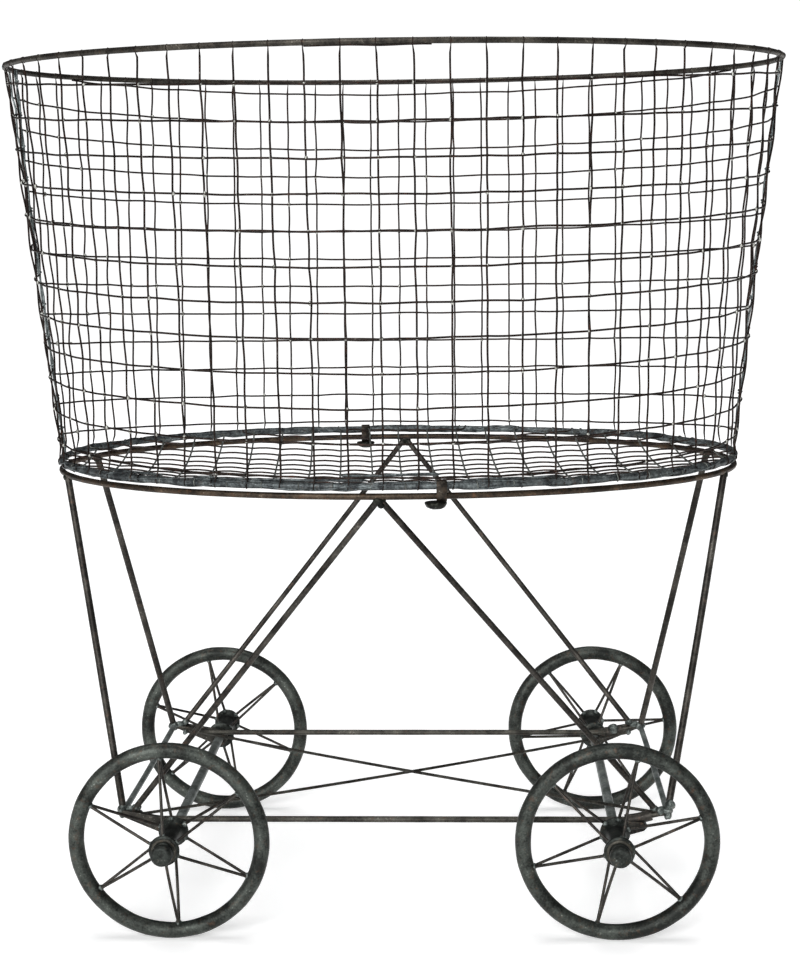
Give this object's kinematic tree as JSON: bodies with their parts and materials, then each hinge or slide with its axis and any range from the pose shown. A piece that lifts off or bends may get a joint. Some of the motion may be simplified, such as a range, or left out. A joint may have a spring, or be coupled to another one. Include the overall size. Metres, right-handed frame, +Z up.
{
  "type": "linen trolley",
  "caption": "Open oval wire-mesh basket on a splayed rod frame with crossed bracing and free-turning spoked wheels, for moving laundry.",
  "frame": {"origin": "on the floor under the middle of the basket", "axes": "+Z up, +X to the right along the basket's long side, -Y the front; the trolley rolls along X"},
  "size_m": [0.716, 0.482, 0.7746],
  "materials": {
    "dark_rod": "dark patinated iron, worn and slightly rusty",
    "mesh_wire": "dark patinated iron wire",
    "wrapped_ring": "blue-grey patina over dark iron",
    "axle_bar": "grey worn iron",
    "wheel_iron": "brown-black patinated iron with pale specks"
  },
  "bodies": {
    "trolley": {"basket_rim": "dark_rod", "basket_wall": "mesh_wire", "basket_base_ring": "wrapped_ring", "basket_floor": "mesh_wire", "frame_ring": "dark_rod", "basket_clip_front": "dark_rod", "basket_clip_rear": "dark_rod", "basket_clip_nut_front": "dark_rod", "basket_clip_nut_rear": "dark_rod", "leg_front_left": "dark_rod", "brace_front_left": "dark_rod", "leg_front_right": "dark_rod", "brace_front_right": "dark_rod", "leg_rear_left": "dark_rod", "brace_rear_left": "dark_rod", "leg_rear_right": "dark_rod", "brace_rear_right": "dark_rod", "front_rail": "dark_rod", "rear_rail": "dark_rod", "side_rail_left": "axle_bar", "side_rail_right": "axle_bar", "cross_rod_lower": "dark_rod", "cross_rod_upper": "dark_rod", "axle_left": "axle_bar", "axle_right": "axle_bar", "axle_bracket_front_left": "dark_rod", "axle_collar_front_left": "wheel_iron", "axle_washer_front_left": "wheel_iron", "axle_cap_front_left": "wheel_iron", "axle_bracket_front_right": "dark_rod", "axle_collar_front_right": "wheel_iron", "axle_washer_front_right": "wheel_iron", "axle_cap_front_right": "wheel_iron", "axle_bracket_rear_left": "dark_rod", "axle_collar_rear_left": "wheel_iron", "axle_washer_rear_left": "wheel_iron", "axle_cap_rear_left": "wheel_iron", "axle_bracket_rear_right": "dark_rod", "axle_collar_rear_right": "wheel_iron", "axle_washer_rear_right": "wheel_iron", "axle_cap_rear_right": "wheel_iron"},
    "wheel_front_left": {"wheel_rim_front_left": "wheel_iron", "wheel_spider_front_left": "wheel_iron"},
    "wheel_front_right": {"wheel_rim_front_right": "wheel_iron", "wheel_spider_front_right": "wheel_iron"},
    "wheel_rear_left": {"wheel_rim_rear_left": "wheel_iron", "wheel_spider_rear_left": "wheel_iron"},
    "wheel_rear_right": {"wheel_rim_rear_right": "wheel_iron", "wheel_spider_rear_right": "wheel_iron"}
  },
  "joints": [
    {"name": "wheel_front_left_spin", "type": "hinge", "parent": "trolley", "child": "wheel_front_left", "pos_m": [-0.1975, -0.181, 0.0895], "axis": [0, 1, 0], "continuous": true},
    {"name": "wheel_front_right_spin", "type": "hinge", "parent": "trolley", "child": "wheel_front_right", "pos_m": [0.1975, -0.181, 0.0895], "axis": [0, 1, 0], "continuous": true},
    {"name": "wheel_rear_left_spin", "type": "hinge", "parent": "trolley", "child": "wheel_rear_left", "pos_m": [-0.1975, 0.181, 0.0895], "axis": [0, 1, 0], "continuous": true},
    {"name": "wheel_rear_right_spin", "type": "hinge", "parent": "trolley", "child": "wheel_rear_right", "pos_m": [0.1975, 0.181, 0.0895], "axis": [0, 1, 0], "continuous": true}
  ]
}
